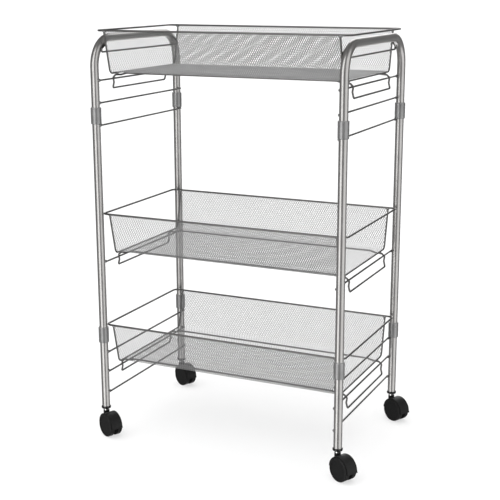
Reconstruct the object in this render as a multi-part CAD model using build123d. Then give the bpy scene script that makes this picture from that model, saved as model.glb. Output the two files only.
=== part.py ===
"""Rolling utility cart: two ladder-shaped end frames of round tube and wire rungs, three wire-mesh
trays that hook over the rungs, and four twin-wheel swivel casters.

Millimetres, +Z up. The cart's length runs along X, its depth along Y, and the wheels stand on Z = 0.
The frames, trays and casters are laid out about the middle of the cart's frame. All four casters
trail the same way at rest, which makes the outline uneven, so the last step moves the whole cart
until the origin is at the middle of its outline, on the floor.
"""

import os
from math import hypot, sqrt

from build123d import *

# ---- End frames -----------------------------------------------------------------------------
leg_span_x = 392.6  # between the leg axes, left to right
leg_span_y = 251.0  # between the leg axes, front to back
tube_d = 12.7
tube_wall = 1.0
bar_z = 620.5  # axis of the top bar
bow_bend_r = 42.0
foot_z = 46.5  # lower end of the legs
upper_joint_z = 507.4
lower_joint_back_z = 152.2
lower_joint_front_z = 164.8  # the front legs join a little higher than the back ones
fit_gap = 0.03  # round pieces pressed or glued together
weld_gap = 0.01  # between wires and tubes that are welded
cut_past = 1.0  # a cutting shape runs this far past what it cuts

rung_d = 2.8
rung_short_of_leg = 1.5  # a rung ends this far before the leg's axis
upper_rungs_z = (526.8, 560.0)
middle_rungs_z = (283.0, 493.4)
lower_rungs_z = (71.0, 105.0, 137.0)
bow_rung_z = 601.0  # the highest rung curls up at its ends
bow_rung_corner_y = 126.0
bow_rung_end = (104.0, 612.5)  # y, z where the curl ends against the bow
bow_rung_bend_r = 3.0

sleeve_d = 16.0
sleeve_length = 25.0
sleeve_stop = 1.5  # inner rib that both tube ends meet
sleeve_edge_r = 1.2

# ---- Trays ----------------------------------------------------------------------------------
tray_rung_z = {"top": upper_rungs_z[1], "middle": middle_rungs_z[0], "bottom": lower_rungs_z[1]}
rim_d = 3.0
rim_half_x = 199.0
rim_half_y = 112.6
rim_corner_r = 8.0
rim_over_rung = 72.0

mesh_t = 0.4
mesh_half_x = 185.5
mesh_floor_half_y = 98.5  # to the corner that the wall and the floor would make without the bend
mesh_over_rung = 9.95
mesh_bend_r = 7.0
mesh_under_rim = 0.05  # top edge of the mesh below the rim
hoop_d = 2.6
hoop_under_rim = 0.4  # ends of the hoop below the rim

hanger_d = 2.8
hanger_half_y = 80.0
hanger_over_rung = 8.3
hanger_bend_r = 2.6
# Hook outline at each end, as (x past the rung's axis, z over it): the wire ducks under the mesh
# hoop, passes over the rung, waves down its outer side and becomes the cross bar.
hook_outline = ((-20.0, 8.3), (-10.0, 5.7), (-0.2, 5.2), (4.3, 1.1), (3.15, -6.4), (5.2, -14.8))

# ---- Casters --------------------------------------------------------------------------------
caster_turn = 27.0  # degrees clockwise from +Y to the wheels' axle, all four alike
caster_trail = 12.0
wheel_r = 18.0
wheel_width = 8.0
wheel_inner = 3.3  # from the caster's middle plane to a wheel's inner face
wheel_edge_r = 2.2
wheel_recess_r = 13.8  # shallow dish in the outer face
wheel_recess = 0.5
wheel_hollow_r = 15.0  # hollow in the inner face, round the hub
wheel_hollow = 2.5
wheel_hub_wall = 2.2
axle_d = 3.5
axle_end_gap = 2.0  # from the axle's end to the wheel's outer face
bore_end_gap = 1.6  # from the bore's blind end to the wheel's outer face
running_gap = 0.05  # radial, in the wheels and round the swivel pin
hood_r = 19.9
hood_wall = 1.4
hood_half_width = 9.4
web_half_width = 3.0
web_boss_r = 4.6
hood_lip_rise = 0.6  # the front lip ends this far over the axle
hood_tail_drop = 1.6  # the tail ends this far under the axle
tail_spur = 1.2
tail_spur_rise = 3.0
tail_spur_root = 0.9  # depth of the spur inside the hood's curve
tail_spur_lean = 0.11  # the spur's outer side leans in by this at its top
neck_d = 9.6
collar_d = 8.6
collar_top_z = 41.8
collar_bottom_z = 39.2
swivel_pin_d = 4.0
swivel_pin_foot_z = 24.5
swivel_pin_end_gap = 0.4
neck_under_collar = 0.1
stem_d = 8.0
stem_top_z = 64.0
flange_d = 15.2
flange_edge_r = 1.5
flange_over_collar = 0.4
flange_under_tube = 0.02
foot_cone_rise = 1.0  # the flange's underside tapers in to the collar
foot_cone_step = 1.2
socket_top_z = 68.0
stem_end_gap = 1.5
stem_tip_bevel = 0.8
pin_tip_bevel = 0.5

# ---- Worked out -----------------------------------------------------------------------------
tube_r = tube_d / 2
bore_r = tube_r - tube_wall
leg_x = leg_span_x / 2
leg_y = leg_span_y / 2
rung_x = leg_x - tube_r - rung_d / 2 - weld_gap
sides = {"left": -1, "right": 1}
rows = {"front": -1, "back": 1}
corners = [(row, side) for row in rows for side in sides]
lower_joint_z = {"front": lower_joint_front_z, "back": lower_joint_back_z}

nodes = {}


def leg_place(row, side):
    """Where a leg's axis stands."""
    return Pos(sides[side] * leg_x, rows[row] * leg_y, 0)


def rod(radius, low, high):
    """Upright round bar from low to high."""
    return Pos(0, 0, low) * Cylinder(radius, high - low, align=(Align.CENTER, Align.CENTER, Align.MIN))


def pipe(outer, inner, low, high):
    """Upright round tube from low to high."""
    return rod(outer, low, high) - rod(inner, low - cut_past, high + cut_past)


def bent_rod(points, radius, bends):
    """Round bar along straight runs that arcs join; bends is one radius, or one for each corner."""
    path = FilletPolyline(*points, radius=bends)
    return sweep(Plane(origin=path @ 0, z_dir=path % 0) * Circle(radius), path=path)


# ---- End frames -----------------------------------------------------------------------------
def bow():
    """Inverted U whose two legs end at the upper joint."""
    low = upper_joint_z + sleeve_stop / 2
    points = [(0, -leg_y, low), (0, -leg_y, bar_z), (0, leg_y, bar_z), (0, leg_y, low)]
    return bent_rod(points, tube_r, bow_bend_r) - bent_rod(points, bore_r, bow_bend_r)


def straight_rung(z):
    half = leg_y - rung_short_of_leg
    return Pos(0, 0, z) * Rot(90, 0, 0) * Cylinder(rung_d / 2, 2 * half)


def curled_rung():
    """Highest rung: both ends curl up and in, to lie against the bow's bends."""
    end_y, end_z = bow_rung_end
    points = [(0, -end_y, end_z), (0, -bow_rung_corner_y, bow_rung_z)]
    points += [(0, -y, z) for _, y, z in reversed(points)]
    return bent_rod(points, rung_d / 2, bow_rung_bend_r)


def sleeve(joint_z):
    """Plastic coupling over two tube ends, with a stop rib between them."""
    half = sleeve_length / 2
    body = fillet(rod(sleeve_d / 2, joint_z - half, joint_z + half).edges(), sleeve_edge_r)
    fit_r = tube_r + fit_gap
    body -= rod(fit_r, joint_z - half - cut_past, joint_z - sleeve_stop / 2)
    body -= rod(fit_r, joint_z + sleeve_stop / 2, joint_z + half + cut_past)
    return body - rod(bore_r, joint_z - half, joint_z + half)


def build_frames():
    half_stop = sleeve_stop / 2
    for side, x_sign in sides.items():
        nodes[f"upper_bow_{side}"] = Pos(x_sign * leg_x, 0, 0) * bow()
        in_row = Pos(x_sign * rung_x, 0, 0)
        upper = [curled_rung()] + [straight_rung(z) for z in upper_rungs_z]
        nodes[f"upper_rungs_{side}"] = Compound([in_row * piece for piece in upper])
        nodes[f"middle_rungs_{side}"] = Compound([in_row * straight_rung(z) for z in middle_rungs_z])
        nodes[f"lower_rungs_{side}"] = Compound([in_row * straight_rung(z) for z in lower_rungs_z])
    for row, side in corners:
        place = leg_place(row, side)
        name = f"{row}_{side}"
        low_joint = lower_joint_z[row]
        middle_post = pipe(tube_r, bore_r, low_joint + half_stop, upper_joint_z - half_stop)
        nodes[f"middle_post_{name}"] = place * middle_post
        nodes[f"lower_post_{name}"] = place * pipe(tube_r, bore_r, foot_z, low_joint - half_stop)
        nodes[f"upper_sleeve_{name}"] = place * sleeve(upper_joint_z)
        nodes[f"lower_sleeve_{name}"] = place * sleeve(low_joint)


# ---- Trays, each built with its rung at z = 0 --------------------------------------------------
wall_run = rim_half_y - mesh_floor_half_y
wall_rise = rim_over_rung - mesh_over_rung
wall_slant = hypot(wall_run, wall_rise)


def trough_line(outward, top_z):
    """Corner points (y, z) of the trough's cross-section, moved outward by a distance."""
    corner_y = mesh_floor_half_y + outward * (wall_slant - wall_run) / wall_rise
    corner_z = mesh_over_rung - outward
    top_y = corner_y + (top_z - corner_z) * wall_run / wall_rise
    half = [(-top_y, top_z), (-corner_y, corner_z)]
    return half + [(-y, z) for y, z in reversed(half)]


def tray_rim():
    """Closed wire rectangle round the tray's mouth."""
    outline = Pos(0, 0, rim_over_rung) * RectangleRounded(2 * rim_half_x, 2 * rim_half_y, rim_corner_r)
    path = outline.face().outer_wire()
    return sweep(Plane(origin=path @ 0, z_dir=path % 0) * Circle(rim_d / 2), path=path)


def tray_mesh():
    """Sheet of mesh bent into a trough, open at both ends, as a thin solid sheet."""
    top_z = rim_over_rung - rim_d / 2 - mesh_under_rim
    path = FilletPolyline(*[(0, y, z) for y, z in trough_line(0, top_z)], radius=mesh_bend_r)
    section = Plane(origin=path @ 0, x_dir=(1, 0, 0), z_dir=path % 0) * Rectangle(2 * mesh_half_x, mesh_t)
    return sweep(section, path=path)


def tray_hoops():
    """Wire under each end of the mesh, from the front rim down, across and up to the back rim."""
    outward = (mesh_t + hoop_d) / 2 + weld_gap
    top_z = rim_over_rung - rim_d / 2 - hoop_under_rim
    bend = mesh_bend_r + outward
    hoops = []
    for x_sign in sides.values():
        points = [(x_sign * mesh_half_x, y, z) for y, z in trough_line(outward, top_z)]
        hoops.append(bent_rod(points, hoop_d / 2, bend))
    return Compound(hoops)


def tray_hanger():
    """Endless wire: two runs under the floor, a hook over the rung at each corner, two cross bars."""
    hook = [(rung_x + x, -hanger_half_y, z) for x, z in hook_outline]
    bar_x, _, cross_bar_z = hook[-1]
    right = hook + [(bar_x, 0, cross_bar_z)]
    left = [(-x, y, z) for x, y, z in reversed(right)]
    front = bent_rod(left + right, hanger_d / 2, hanger_bend_r)
    return front + mirror(front, about=Plane.XZ)


def build_trays():
    pieces = {"rim": tray_rim(), "mesh": tray_mesh(), "hoops": tray_hoops(), "hanger": tray_hanger()}
    for tier, rung_z in tray_rung_z.items():
        for kind, piece in pieces.items():
            nodes[f"{tier}_tray_{kind}"] = Pos(0, 0, rung_z) * piece


# ---- Casters, each built with its swivel axis on Z, trailing toward +X and its axle along Y ------
axle_at = Pos(caster_trail, 0, wheel_r)


def across(radius, near, far):
    """Round bar along the axle from near to far."""
    return axle_at * Rot(-90, 0, 0) * rod(radius, near, far)


def caster_socket():
    """Plug inside the leg's foot, with a rounded flange under the tube's end."""
    flange_foot_z = collar_top_z + flange_over_collar
    plug = rod(bore_r - fit_gap, flange_foot_z + flange_edge_r, socket_top_z)
    flange = fillet(rod(flange_d / 2, flange_foot_z, foot_z - flange_under_tube).edges(), flange_edge_r)
    foot = Pos(0, 0, collar_top_z + fit_gap) * Cone(
        stem_d / 2 + foot_cone_step,
        flange_d / 2 - foot_cone_step,
        foot_cone_rise,
        align=(Align.CENTER, Align.CENTER, Align.MIN),
    )
    return plug + flange + foot - rod(stem_d / 2 + fit_gap, 0, stem_top_z + stem_end_gap)


def caster_stem():
    """Steel stem: fixed in the socket, with a bright collar and the pin that the caster turns on."""
    shank = rod(stem_d / 2, collar_top_z, stem_top_z)
    shank = chamfer(shank.edges().group_by(Axis.Z)[-1], stem_tip_bevel)
    collar = rod(collar_d / 2, collar_bottom_z, collar_top_z)
    pin = rod(swivel_pin_d / 2, swivel_pin_foot_z, collar_bottom_z)
    pin = chamfer(pin.edges().group_by(Axis.Z)[0], pin_tip_bevel)
    return shank + collar + pin


def hood_spur():
    """Small pointed lip that runs across the hood's tail."""
    low_z = wheel_r - hood_tail_drop
    tail_x = caster_trail + sqrt(hood_r**2 - hood_tail_drop**2)
    root_x = tail_x - tail_spur_root
    corner_points = [(root_x, low_z), (tail_x + tail_spur, low_z)]
    corner_points += [(tail_x - tail_spur_lean, low_z + tail_spur_rise), (root_x, low_z + tail_spur_rise)]
    face = Plane.XZ * Polygon(*corner_points, align=None)
    return extrude(face, amount=hood_half_width, both=True)


def caster_hood():
    """Moulded body: a curved hood over both wheels, the web between them and the swivel neck."""
    inner_r = hood_r - hood_wall
    axle_z = wheel_r
    shell = across(hood_r, -hood_half_width, hood_half_width)
    shell -= across(inner_r, -hood_half_width - cut_past, hood_half_width + cut_past)
    web = across((inner_r + hood_r) / 2, -web_half_width, web_half_width)
    reach = 2 * hood_r
    keep_size = (2 * reach, 2 * reach, reach)
    upward = (Align.CENTER, Align.CENTER, Align.MIN)
    front_keep = Pos(caster_trail - reach, 0, axle_z + hood_lip_rise) * Box(*keep_size, align=upward)
    tail_keep = Pos(caster_trail + reach, 0, axle_z - hood_tail_drop) * Box(*keep_size, align=upward)
    body = (shell + web) & (front_keep + tail_keep)
    body += hood_spur()
    body += across(web_boss_r, -web_half_width, web_half_width)
    neck_top_z = collar_bottom_z - neck_under_collar
    neck = rod(neck_d / 2, axle_z, neck_top_z)
    body += neck - across((inner_r + hood_r) / 2, -reach, reach)
    body += neck & Pos(0, 0, axle_z) * Box(neck_d, 2 * web_half_width, 2 * reach)
    body -= rod(swivel_pin_d / 2 + running_gap, swivel_pin_foot_z - swivel_pin_end_gap, neck_top_z + cut_past)
    return body - across(axle_d / 2 + fit_gap, -web_half_width - cut_past, web_half_width + cut_past)


def caster_axle():
    half = wheel_inner + wheel_width - axle_end_gap
    return across(axle_d / 2, -half, half)


def caster_wheel(y_sign):
    """One wheel: a solid disc with rounded shoulders, a dished outer face and a blind axle bore."""
    outer = wheel_inner + wheel_width
    body = across(wheel_r, wheel_inner, outer)
    shoulder = body.edges().filter_by(GeomType.CIRCLE).sort_by(Axis.Y)[-1]
    body = fillet(shoulder, wheel_edge_r)
    body -= across(wheel_recess_r, outer - wheel_recess, outer + cut_past)
    body -= across(wheel_hollow_r, wheel_inner - cut_past, wheel_inner + wheel_hollow)
    body += across(axle_d / 2 + wheel_hub_wall, wheel_inner, wheel_inner + wheel_hollow + cut_past)
    body -= across(axle_d / 2 + running_gap, wheel_inner - cut_past, outer - bore_end_gap)
    return body if y_sign > 0 else mirror(body, about=Plane.XZ)


def build_casters():
    pieces = {
        "caster_socket": caster_socket(),
        "caster_stem": caster_stem(),
        "caster_hood": caster_hood(),
        "caster_axle": caster_axle(),
        "caster_wheel_inner": caster_wheel(1),
        "caster_wheel_outer": caster_wheel(-1),
    }
    turn = Rot(0, 0, -caster_turn)
    for row, side in corners:
        for kind, piece in pieces.items():
            nodes[f"{kind}_{row}_{side}"] = leg_place(row, side) * turn * piece


# ---- Assembly -------------------------------------------------------------------------------
build_frames()
build_trays()
build_casters()

outline = Compound(list(nodes.values())).bounding_box()
origin_shift = Vector(-outline.center().X, -outline.center().Y, 0)

os.makedirs("parts", exist_ok=True)
for node_name, shape in nodes.items():
    export_step(Pos(origin_shift) * shape, f"parts/{node_name}.step")
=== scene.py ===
"""Looks of the rolling utility cart: satin tubes and wires, expanded-metal troughs, weld beads,
moulded casters, a pale floor and soft studio light. Metres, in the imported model's frame."""

from math import atan2, cos, hypot, pi, radians, sin, tan

import bmesh
import bpy
from mathutils import Matrix, Vector, noise


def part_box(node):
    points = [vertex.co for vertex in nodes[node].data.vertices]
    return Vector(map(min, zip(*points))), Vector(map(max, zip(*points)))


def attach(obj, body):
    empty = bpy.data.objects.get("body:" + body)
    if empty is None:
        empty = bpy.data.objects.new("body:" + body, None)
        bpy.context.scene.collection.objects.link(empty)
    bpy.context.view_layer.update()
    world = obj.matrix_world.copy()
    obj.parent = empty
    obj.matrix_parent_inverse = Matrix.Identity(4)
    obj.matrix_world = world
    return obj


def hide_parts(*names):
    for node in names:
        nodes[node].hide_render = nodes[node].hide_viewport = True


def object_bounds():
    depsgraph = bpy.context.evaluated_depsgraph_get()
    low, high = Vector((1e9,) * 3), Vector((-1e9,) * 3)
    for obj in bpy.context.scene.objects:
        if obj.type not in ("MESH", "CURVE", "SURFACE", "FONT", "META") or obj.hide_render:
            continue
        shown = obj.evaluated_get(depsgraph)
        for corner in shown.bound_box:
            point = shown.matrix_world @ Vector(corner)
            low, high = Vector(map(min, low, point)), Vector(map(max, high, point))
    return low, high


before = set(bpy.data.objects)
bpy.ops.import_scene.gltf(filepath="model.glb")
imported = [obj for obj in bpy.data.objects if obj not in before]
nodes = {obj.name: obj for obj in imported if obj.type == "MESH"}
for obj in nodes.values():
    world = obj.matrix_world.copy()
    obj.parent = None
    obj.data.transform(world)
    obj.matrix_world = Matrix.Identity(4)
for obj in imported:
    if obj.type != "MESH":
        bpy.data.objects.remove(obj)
cad_low, cad_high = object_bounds()

MM = 0.001
TIERS = ("top", "middle", "bottom")

# ---- Expanded metal ---------------------------------------------------------------------------
MESH_PITCH_X = 3.2 * MM  # short way of a diamond, along the cart
MESH_PITCH_S = 6.2 * MM  # long way of a diamond, across the trough's section
STRAND_WIDTH = 0.66 * MM
STRAND_DEPTH = 0.36 * MM
FLOOR_CORNER_Y = 98.5 * MM  # half width to the corner that wall and floor would make without the bend
BEND_R = 7.0 * MM

# ---- Welds and wires ----------------------------------------------------------------------------
RIM_R = 1.5 * MM
HOOP_R = 1.3 * MM
HANGER_R = 1.4 * MM
WIRE_SPACING = 5.0 * MM  # wires of one node are further apart than this
BEAD_LUMPS = 1.6  # lumps across a bead
BEAD_RELIEF = 0.22
BEAD_CELL = 7.3 * MM  # makes each bead's lumps its own
RUNG_BEAD = (1.5 * MM, 3.6 * MM, 2.2 * MM)
RUNG_BEAD_INSET = 0.6 * MM
RUNG_BEAD_PROUD = 0.4 * MM
CURL_BEAD = (1.2 * MM, 2.4 * MM, 1.3 * MM)
CURL_BEAD_PROUD = 0.6 * MM
HOOP_BEAD = (2.6 * MM, 1.9 * MM, 1.9 * MM)
CROSSING_BEAD = (1.9 * MM, 1.9 * MM, 1.3 * MM)

# ---- Camera and light ---------------------------------------------------------------------------
CAMERA_FROM_FRAME = Vector((0.709, -1.522, 0.704))  # from the floor under the middle of the end frames
CAMERA_YAW = radians(25.03)
CAMERA_PITCH = radians(13.76)
CAMERA_ROLL = radians(-0.12)
CAMERA_LENS = 79.4
BACKDROP_LEVEL = 1.0
HORIZON_REACH = 400.0
FLOOR_GLOW = 0.64  # keeps the trays' wide shadows off the paper and leaves those of the wheels
REFLECTOR_HEIGHT = 5.0
# Each panel: name, azimuth in degrees, distance from the cart, width, radiance.
REFLECTORS = (("key", -15, 1.3, 0.9, 1.6), ("fill", 78, 1.6, 1.8, 0.9), ("rear", 195, 1.8, 1.3, 1.6))
OVERHEAD_STRENGTH = 4.6
OVERHEAD_SPREAD = radians(100)
OVERHEAD_TILT = (radians(10), radians(-8), 0)
ROOM_LEVELS = ((0.3, 0.3), (0.5, 0.2), (1.0, 0.22))  # from straight below (0) to straight above (1)

# ---- Finishes -----------------------------------------------------------------------------------
ORANGE_PEEL = 0.012 * MM


def frame_middle():
    """The floor point under the middle of the two end frames."""
    low_left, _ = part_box("upper_bow_left")
    _, high_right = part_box("upper_bow_right")
    middle = (Vector(low_left) + Vector(high_right)) / 2
    return Vector((middle.x, middle.y, 0.0))


# ---- Materials ----------------------------------------------------------------------------------
class Shader:
    """A material under construction, with short ways to add nodes to it."""

    def __init__(self, name, **settings):
        self.material = bpy.data.materials.new(name)
        self.material.use_nodes = True
        self.tree = self.material.node_tree
        self.surface = self.tree.nodes["Principled BSDF"]
        self.place = self.tree.nodes.new("ShaderNodeTexCoord").outputs["Object"]
        for socket, value in settings.items():
            self.surface.inputs[socket.replace("_", " ")].default_value = value

    def node(self, kind, **inputs):
        made = self.tree.nodes.new(kind)
        for socket, value in inputs.items():
            self.feed(made.inputs[socket.replace("_", " ")], value)
        return made

    def feed(self, socket, value):
        if isinstance(value, bpy.types.NodeSocket):
            self.tree.links.new(value, socket)
        else:
            socket.default_value = value

    def stretched(self, x, y, z):
        """The object's own coordinates, scaled apart along each axis."""
        mapping = self.node("ShaderNodeMapping", Vector=self.place)
        mapping.inputs["Scale"].default_value = (x, y, z)
        return mapping.outputs["Vector"]

    def noise(self, scale, detail=3.0, vector=None):
        vector = self.place if vector is None else vector
        return self.node("ShaderNodeTexNoise", Vector=vector, Scale=scale, Detail=detail).outputs["Fac"]

    def between(self, value, low, high, into_low=0.3, into_high=0.7):
        """Maps a noise value to a range of numbers."""
        mapped = self.node("ShaderNodeMapRange", Value=value)
        mapped.inputs["From Min"].default_value = into_low
        mapped.inputs["From Max"].default_value = into_high
        mapped.inputs["To Min"].default_value = low
        mapped.inputs["To Max"].default_value = high
        return mapped.outputs["Result"]

    def ramp(self, value, *stops):
        """Colours along a value; each stop is (position, colour)."""
        made = self.node("ShaderNodeValToRGB", Fac=value)
        elements = made.color_ramp.elements
        while len(elements) < len(stops):
            elements.new(0.5)
        for element, (position, colour) in zip(elements, stops):
            element.position = position
            element.color = (*colour, 1.0)
        return made.outputs["Color"]

    def bump(self, height, distance, strength=1.0):
        made = self.node("ShaderNodeBump", Height=height)
        made.inputs["Distance"].default_value = distance
        made.inputs["Strength"].default_value = strength
        self.feed(self.surface.inputs["Normal"], made.outputs["Normal"])

    def colour(self, value):
        self.feed(self.surface.inputs["Base Color"], value)

    def rough(self, value):
        self.feed(self.surface.inputs["Roughness"], value)


def grey(value, warm=0.0):
    """A neutral colour, a little warmer for warm above 0."""
    return (value * (1 + warm), value, value * (1 - warm))


def silver_coat(name, level, roughness, metallic=1.0, spread=0.08, warm=0.02):
    """Silver powder coat on steel: fine metallic flakes, a slight orange peel, faint cloudiness."""
    shader = Shader(name, Metallic=metallic, Coat_Weight=0.12, Coat_Roughness=0.22)
    cloud = shader.noise(38.0, 4.0)
    flake = shader.noise(5200.0, 1.0)
    pale, dark = grey(level * (1 + spread), warm), grey(level * (1 - spread), warm)
    shader.colour(shader.ramp(cloud, (0.25, dark), (0.75, pale)))
    shader.rough(shader.between(flake, roughness - 0.03, roughness + 0.05))
    shader.bump(shader.noise(900.0, 2.0), ORANGE_PEEL)
    return shader.material


def moulded(name, level, roughness, grain_scale, grain_depth, **settings):
    """Moulded plastic: a fine grain, slightly uneven gloss and colour."""
    shader = Shader(name, **settings)
    cloud = shader.noise(70.0, 3.0)
    shader.colour(shader.ramp(cloud, (0.3, grey(level * 0.88)), (0.7, grey(level * 1.14))))
    shader.rough(shader.between(shader.noise(160.0, 4.0), roughness - 0.05, roughness + 0.07))
    shader.bump(shader.noise(grain_scale, 2.0), grain_depth)
    return shader.material


def wheel_plastic():
    """Black tread plastic, scuffed a little where it has rolled."""
    shader = Shader("wheel_plastic", Specular_IOR_Level=0.25)
    scuff = shader.noise(420.0, 6.0)
    shader.colour(shader.ramp(scuff, (0.45, grey(0.009)), (0.72, grey(0.02))))
    shader.rough(shader.between(scuff, 0.42, 0.62))
    shader.bump(shader.noise(1500.0, 3.0), 0.02 * MM)
    return shader.material


def bright_zinc():
    """Bright plated steel, with fine turning lines round the stem."""
    shader = Shader("bright_zinc", Metallic=1.0)
    turning = shader.noise(1.0, 2.0, shader.stretched(40.0, 40.0, 5200.0))
    shader.colour(shader.ramp(turning, (0.3, grey(0.78)), (0.7, grey(0.9))))
    shader.rough(shader.between(turning, 0.1, 0.2))
    shader.bump(turning, 0.004 * MM)
    return shader.material


def weld_steel():
    """Coated weld bead: the same silver, rougher and a little darker."""
    shader = Shader("weld_steel", Metallic=1.0)
    lump = shader.noise(1300.0, 3.0)
    shader.colour(shader.ramp(lump, (0.3, grey(0.28)), (0.7, grey(0.42))))
    shader.rough(shader.between(lump, 0.34, 0.5))
    shader.bump(lump, 0.08 * MM)
    return shader.material


tube_coat = silver_coat("tube_coat", 0.52, 0.29)
# Painted shade: the wires have the same silver coat as the tubes, with a far darker colour that stands
# in for how dark they read under this light.
shaded_wire_coat = silver_coat("shaded_wire_coat", 0.15, 0.3)
mesh_coat = silver_coat("mesh_coat", 0.3, 0.42, metallic=0.35, spread=0.12, warm=0.0)
sleeve_plastic = moulded("sleeve_plastic", 0.36, 0.32, 1600.0, 0.006 * MM, Metallic=0.6)
gloss_black = moulded("gloss_black", 0.008, 0.16, 900.0, 0.004 * MM)
grained_black = moulded("grained_black", 0.008, 0.46, 2400.0, 0.03 * MM, Specular_IOR_Level=0.3)
tread_black = wheel_plastic()
zinc = bright_zinc()
weld = weld_steel()

FINISHES = (
    ("tray_mesh", mesh_coat),
    ("sleeve", sleeve_plastic),
    ("caster_socket", gloss_black),
    ("caster_stem", zinc),
    ("caster_axle", zinc),
    ("caster_hood", grained_black),
    ("caster_wheel", tread_black),
    ("post", tube_coat),
    ("bow", tube_coat),
    ("", shaded_wire_coat),
)


def finish_cad_nodes():
    """Gives every node of the frame its material."""
    for name, piece in nodes.items():
        material = next(made for part, made in FINISHES if part in name)
        piece.data.materials.clear()
        piece.data.materials.append(material)


# ---- Pieces -------------------------------------------------------------------------------------
def new_piece(name, mesh, material, body):
    """A mesh object that rides on a body."""
    piece = bpy.data.objects.new(name, mesh)
    bpy.context.scene.collection.objects.link(piece)
    piece.data.materials.append(material)
    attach(piece, body)
    return piece


class TroughSection:
    """The trough's cross-section, walked by arc length from the front rim to the back rim."""

    def __init__(self, half_y, low_z, top_z):
        run = half_y - FLOOR_CORNER_Y
        rise = top_z - low_z
        self.lean = atan2(run, rise)
        turn = pi / 2 - self.lean
        cut = BEND_R * tan(turn / 2)
        wall = hypot(run, rise) - cut
        arc = BEND_R * turn
        floor = 2 * (FLOOR_CORNER_Y - cut)
        # Each stretch is (its length, how far it turns).
        self.stretches = ((wall, 0.0), (arc, turn), (floor, 0.0), (arc, turn), (wall, 0.0))
        self.length = sum(length for length, _ in self.stretches)
        self.start = (-half_y, top_z)

    def at(self, distance):
        """(y, z) and the heading, an angle from +Y, at a distance along the section."""
        y, z = self.start
        heading = self.lean - pi / 2
        left = distance
        for length, turn in self.stretches:
            step = min(left, length)
            if turn:
                angle = turn * step / length
                radius = length / turn
                y += radius * (sin(heading + angle) - sin(heading))
                z += radius * (cos(heading) - cos(heading + angle))
                heading += angle
            else:
                y += step * cos(heading)
                z += step * sin(heading)
            left -= step
            if left <= 0:
                break
        return y, z, heading


def lattice(section, low_x, high_x):
    """Vertices and faces of a sheet of expanded metal that follows the section.

    Crossings stand where column + row is even and openings where it is odd. Every strand has a
    ridge on both sides, from crossing to crossing, and shares its edges with two openings.
    """
    columns = 2 * round((high_x - low_x) / MESH_PITCH_X)
    rows = 2 * round(section.length / MESH_PITCH_S)
    step_x = (high_x - low_x) / columns
    step_s = section.length / rows
    strand = hypot(step_x, step_s)
    inset_x = STRAND_WIDTH / 2 * strand / step_s
    inset_s = STRAND_WIDTH / 2 * strand / step_x
    half_depth = STRAND_DEPTH / 2

    points, faces = [], []

    def vertex(x, distance, offset):
        y, z, heading = section.at(min(max(distance, 0.0), section.length))
        points.append((x, y - offset * sin(heading), z + offset * cos(heading)))
        return len(points) - 1

    def inside(column, row):
        return 0 <= column <= columns and 0 <= row <= rows

    ridges = {}
    for row in range(rows + 1):
        for column in range(row % 2, columns + 1, 2):
            x, distance = low_x + column * step_x, row * step_s
            ridges[column, row] = vertex(x, distance, half_depth), vertex(x, distance, -half_depth)

    around = ((-1, 0), (0, 1), (1, 0), (0, -1))
    for row in range(rows + 1):
        for column in range((row + 1) % 2, columns + 1, 2):
            found = []
            for across, along in around:
                if inside(column + across, row + along):
                    x = low_x + (column + across) * step_x - across * inset_x
                    distance = (row + along) * step_s - along * inset_s
                    found.append((ridges[column + across, row + along], vertex(x, distance, 0.0)))
                else:
                    found.append(None)
            for one, two in zip(found, found[1:] + found[:1]):
                if one and two:
                    (upper_1, lower_1), edge_1 = one
                    (upper_2, lower_2), edge_2 = two
                    faces.append((upper_1, upper_2, edge_2, edge_1))
                    faces.append((edge_1, edge_2, lower_2, lower_1))
                elif one or two:
                    (upper, lower), edge = one or two
                    faces.append((upper, edge, lower) if two else (edge, upper, lower))
    return points, faces


def build_mesh_troughs():
    """Stands a real lattice in for each tray's plain sheet."""
    for tier in TIERS:
        node = f"{tier}_tray_mesh"
        low, high = (Vector(corner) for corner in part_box(node))
        half_y = (high.y - low.y) / 2
        middle_y = (high.y + low.y) / 2
        half_t = STRAND_DEPTH / 2
        section = TroughSection(half_y - half_t, low.z + half_t, high.z)
        points, faces = lattice(section, low.x + half_t, high.x - half_t)
        points = [(x, y + middle_y, z) for x, y, z in points]
        mesh = bpy.data.meshes.new(f"{tier}_trough")
        mesh.from_pydata(points, [], faces)
        mesh.validate()
        mesh.update()
        mesh.shade_flat()
        trough = new_piece(f"{tier}_trough", mesh, mesh_coat, f"{tier}_tray")
        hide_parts(node)


def bead(shape, centre, radii):
    """Adds a lumpy weld bead to a bmesh."""
    centre = Vector(centre)
    made = bmesh.ops.create_icosphere(shape, subdivisions=3, radius=1.0)
    for corner in made["verts"]:
        lump = noise.noise(corner.co * BEAD_LUMPS + centre / BEAD_CELL)
        swollen = corner.co * (1 + BEAD_RELIEF * lump)
        corner.co = centre + Vector(a * b for a, b in zip(swollen, radii))


def bead_piece(name, beads, body):
    """One piece with all the beads given, each as (centre, radii)."""
    shape = bmesh.new()
    for centre, radii in beads:
        bead(shape, centre, radii)
    mesh = bpy.data.meshes.new(name)
    shape.to_mesh(mesh)
    shape.free()
    mesh.shade_smooth()
    return new_piece(name, mesh, weld, body)


def wire_heights(node):
    """Height of each level wire in a node, lowest first."""
    heights = sorted(corner.co.z for corner in nodes[node].data.vertices)
    groups = [[heights[0]]]
    for lower, upper in zip(heights, heights[1:]):
        if upper - lower > WIRE_SPACING:
            groups.append([])
        groups[-1].append(upper)
    return [(group[0] + group[-1]) / 2 for group in groups]


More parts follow.
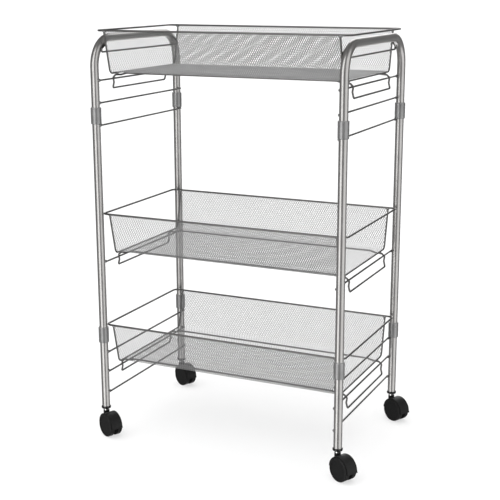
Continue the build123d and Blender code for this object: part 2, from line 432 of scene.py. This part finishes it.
def build_frame_welds():
    """Beads where each rung meets its two legs, and where the top rung's curled ends meet the bow."""
    middle_y = frame_middle().y
    for side, inward in (("left", 1), ("right", -1)):
        beads = []
        for part in ("upper", "middle", "lower"):
            node = f"{part}_rungs_{side}"
            low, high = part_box(node)
            contact_x = low[0] if side == "left" else high[0]
            heights = wire_heights(node)
            if part == "upper":
                curled = heights.pop()
                tips = [corner.co for corner in nodes[node].data.vertices if corner.co.z > curled]
                for row in (-1, 1):
                    in_row = [tip for tip in tips if (tip.y - middle_y) * row > 0]
                    tip = max(in_row, key=lambda point: point.z)
                    beads.append(((contact_x + inward * CURL_BEAD_PROUD, tip.y, tip.z), CURL_BEAD))
            for height in heights:
                for end_y in (low[1] + RUNG_BEAD_INSET, high[1] - RUNG_BEAD_INSET):
                    beads.append(((contact_x + inward * RUNG_BEAD_PROUD, end_y, height), RUNG_BEAD))
        bead_piece(f"rung_welds_{side}", beads, "frame")


def build_tray_welds():
    """Beads where the hoops meet the rim, and where the hanger's runs cross the hoops."""
    for tier in TIERS:
        rim_low, rim_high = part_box(f"{tier}_tray_rim")
        hoop_low, hoop_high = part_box(f"{tier}_tray_hoops")
        run_low, run_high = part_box(f"{tier}_tray_hanger")
        beads = []
        for x in (hoop_low[0] + HOOP_R, hoop_high[0] - HOOP_R):
            for y in (rim_low[1] + RIM_R, rim_high[1] - RIM_R):
                beads.append(((x, y, rim_low[2]), HOOP_BEAD))
            for y in (run_low[1] + HANGER_R, run_high[1] - HANGER_R):
                beads.append(((x, y, hoop_low[2]), CROSSING_BEAD))
        bead_piece(f"{tier}_tray_welds", beads, f"{tier}_tray")


# ---- Stage --------------------------------------------------------------------------------------
def build_camera():
    data = bpy.data.cameras.new("camera")
    data.lens = CAMERA_LENS
    data.sensor_width = 36.0
    camera = bpy.data.objects.new("camera", data)
    bpy.context.scene.collection.objects.link(camera)
    turn = Matrix.Rotation(CAMERA_YAW, 4, "Z") @ Matrix.Rotation(pi / 2 - CAMERA_PITCH, 4, "X")
    turn = turn @ Matrix.Rotation(CAMERA_ROLL, 4, "Z")
    camera.matrix_world = Matrix.Translation(frame_middle() + CAMERA_FROM_FRAME) @ turn
    bpy.context.scene.camera = camera


def reflector(name, azimuth, distance, width, radiance):
    """Tall lit panel that only shows in reflections. Azimuth 0 is in front, 90 on the cart's right."""
    outward = Vector((sin(radians(azimuth)), -cos(radians(azimuth)), 0.0))
    data = bpy.data.lights.new(name, "AREA")
    data.shape = "RECTANGLE"
    data.size, data.size_y = width, REFLECTOR_HEIGHT
    data.energy = radiance * pi * width * REFLECTOR_HEIGHT
    light = bpy.data.objects.new(name, data)
    light.location = frame_middle() + outward * distance
    light.rotation_mode = "QUATERNION"
    light.rotation_quaternion = outward.to_track_quat("Z", "Y")
    light.visible_camera = False
    light.visible_diffuse = False
    bpy.context.scene.collection.objects.link(light)


def build_lights():
    """Panels that draw the bright bands on the tubes, and soft overhead light for everything else."""
    for panel in REFLECTORS:
        reflector(*panel)
    sun = bpy.data.lights.new("overhead", "SUN")
    sun.energy = OVERHEAD_STRENGTH
    sun.angle = OVERHEAD_SPREAD
    lamp = bpy.data.objects.new("overhead", sun)
    lamp.rotation_euler = OVERHEAD_TILT
    lamp.visible_glossy = False
    bpy.context.scene.collection.objects.link(lamp)


def build_world():
    """Studio surroundings: dim at the horizon, brighter below it, and white behind the cart."""
    world = bpy.data.worlds.new("studio")
    world.use_nodes = True
    bpy.context.scene.world = world
    tree = world.node_tree
    room = tree.nodes["Background"]
    place = tree.nodes.new("ShaderNodeTexCoord")
    split = tree.nodes.new("ShaderNodeSeparateXYZ")
    height = tree.nodes.new("ShaderNodeMapRange")
    height.inputs["From Min"].default_value = -1.0
    ramp = tree.nodes.new("ShaderNodeValToRGB")
    tree.links.new(place.outputs["Generated"], split.inputs[0])
    tree.links.new(split.outputs["Z"], height.inputs["Value"])
    tree.links.new(height.outputs["Result"], ramp.inputs["Fac"])
    tree.links.new(ramp.outputs["Color"], room.inputs["Color"])
    elements = ramp.color_ramp.elements
    elements.new(0.5)
    for element, (position, level) in zip(elements, ROOM_LEVELS):
        element.position = position
        element.color = (*grey(level), 1.0)
    paper = tree.nodes.new("ShaderNodeBackground")
    paper.inputs["Color"].default_value = (*grey(BACKDROP_LEVEL), 1.0)
    path = tree.nodes.new("ShaderNodeLightPath")
    mix = tree.nodes.new("ShaderNodeMixShader")
    tree.links.new(path.outputs["Is Camera Ray"], mix.inputs["Fac"])
    tree.links.new(room.outputs[0], mix.inputs[1])
    tree.links.new(paper.outputs[0], mix.inputs[2])
    tree.links.new(mix.outputs[0], tree.nodes["World Output"].inputs["Surface"])


def floor_paper():
    """White paper with a faint unevenness."""
    shader = Shader("floor_paper", Roughness=1.0, Specular_IOR_Level=0.0, Emission_Strength=FLOOR_GLOW)
    shader.surface.inputs["Emission Color"].default_value = (*grey(1.0), 1.0)
    shader.colour(shader.ramp(shader.noise(25.0, 2.0), (0.0, grey(0.305)), (1.0, grey(0.315))))
    return shader.material


def build_floor():
    """White paper to the horizon. The tubes reflect the panels and not the paper."""
    ends = (-HORIZON_REACH, HORIZON_REACH)
    mesh = bpy.data.meshes.new("floor")
    mesh.from_pydata([(x, y, cad_low.z) for x in ends for y in ends], [], [(0, 2, 3, 1)])
    floor = bpy.data.objects.new("floor", mesh)
    floor.data.materials.append(floor_paper())
    floor.visible_glossy = False
    floor.visible_diffuse = False
    bpy.context.scene.collection.objects.link(floor)


build_camera()
finish_cad_nodes()
build_mesh_troughs()
build_frame_welds()
build_tray_welds()
build_lights()
build_world()
build_floor()

bpy.context.scene.view_settings.view_transform = "Standard"
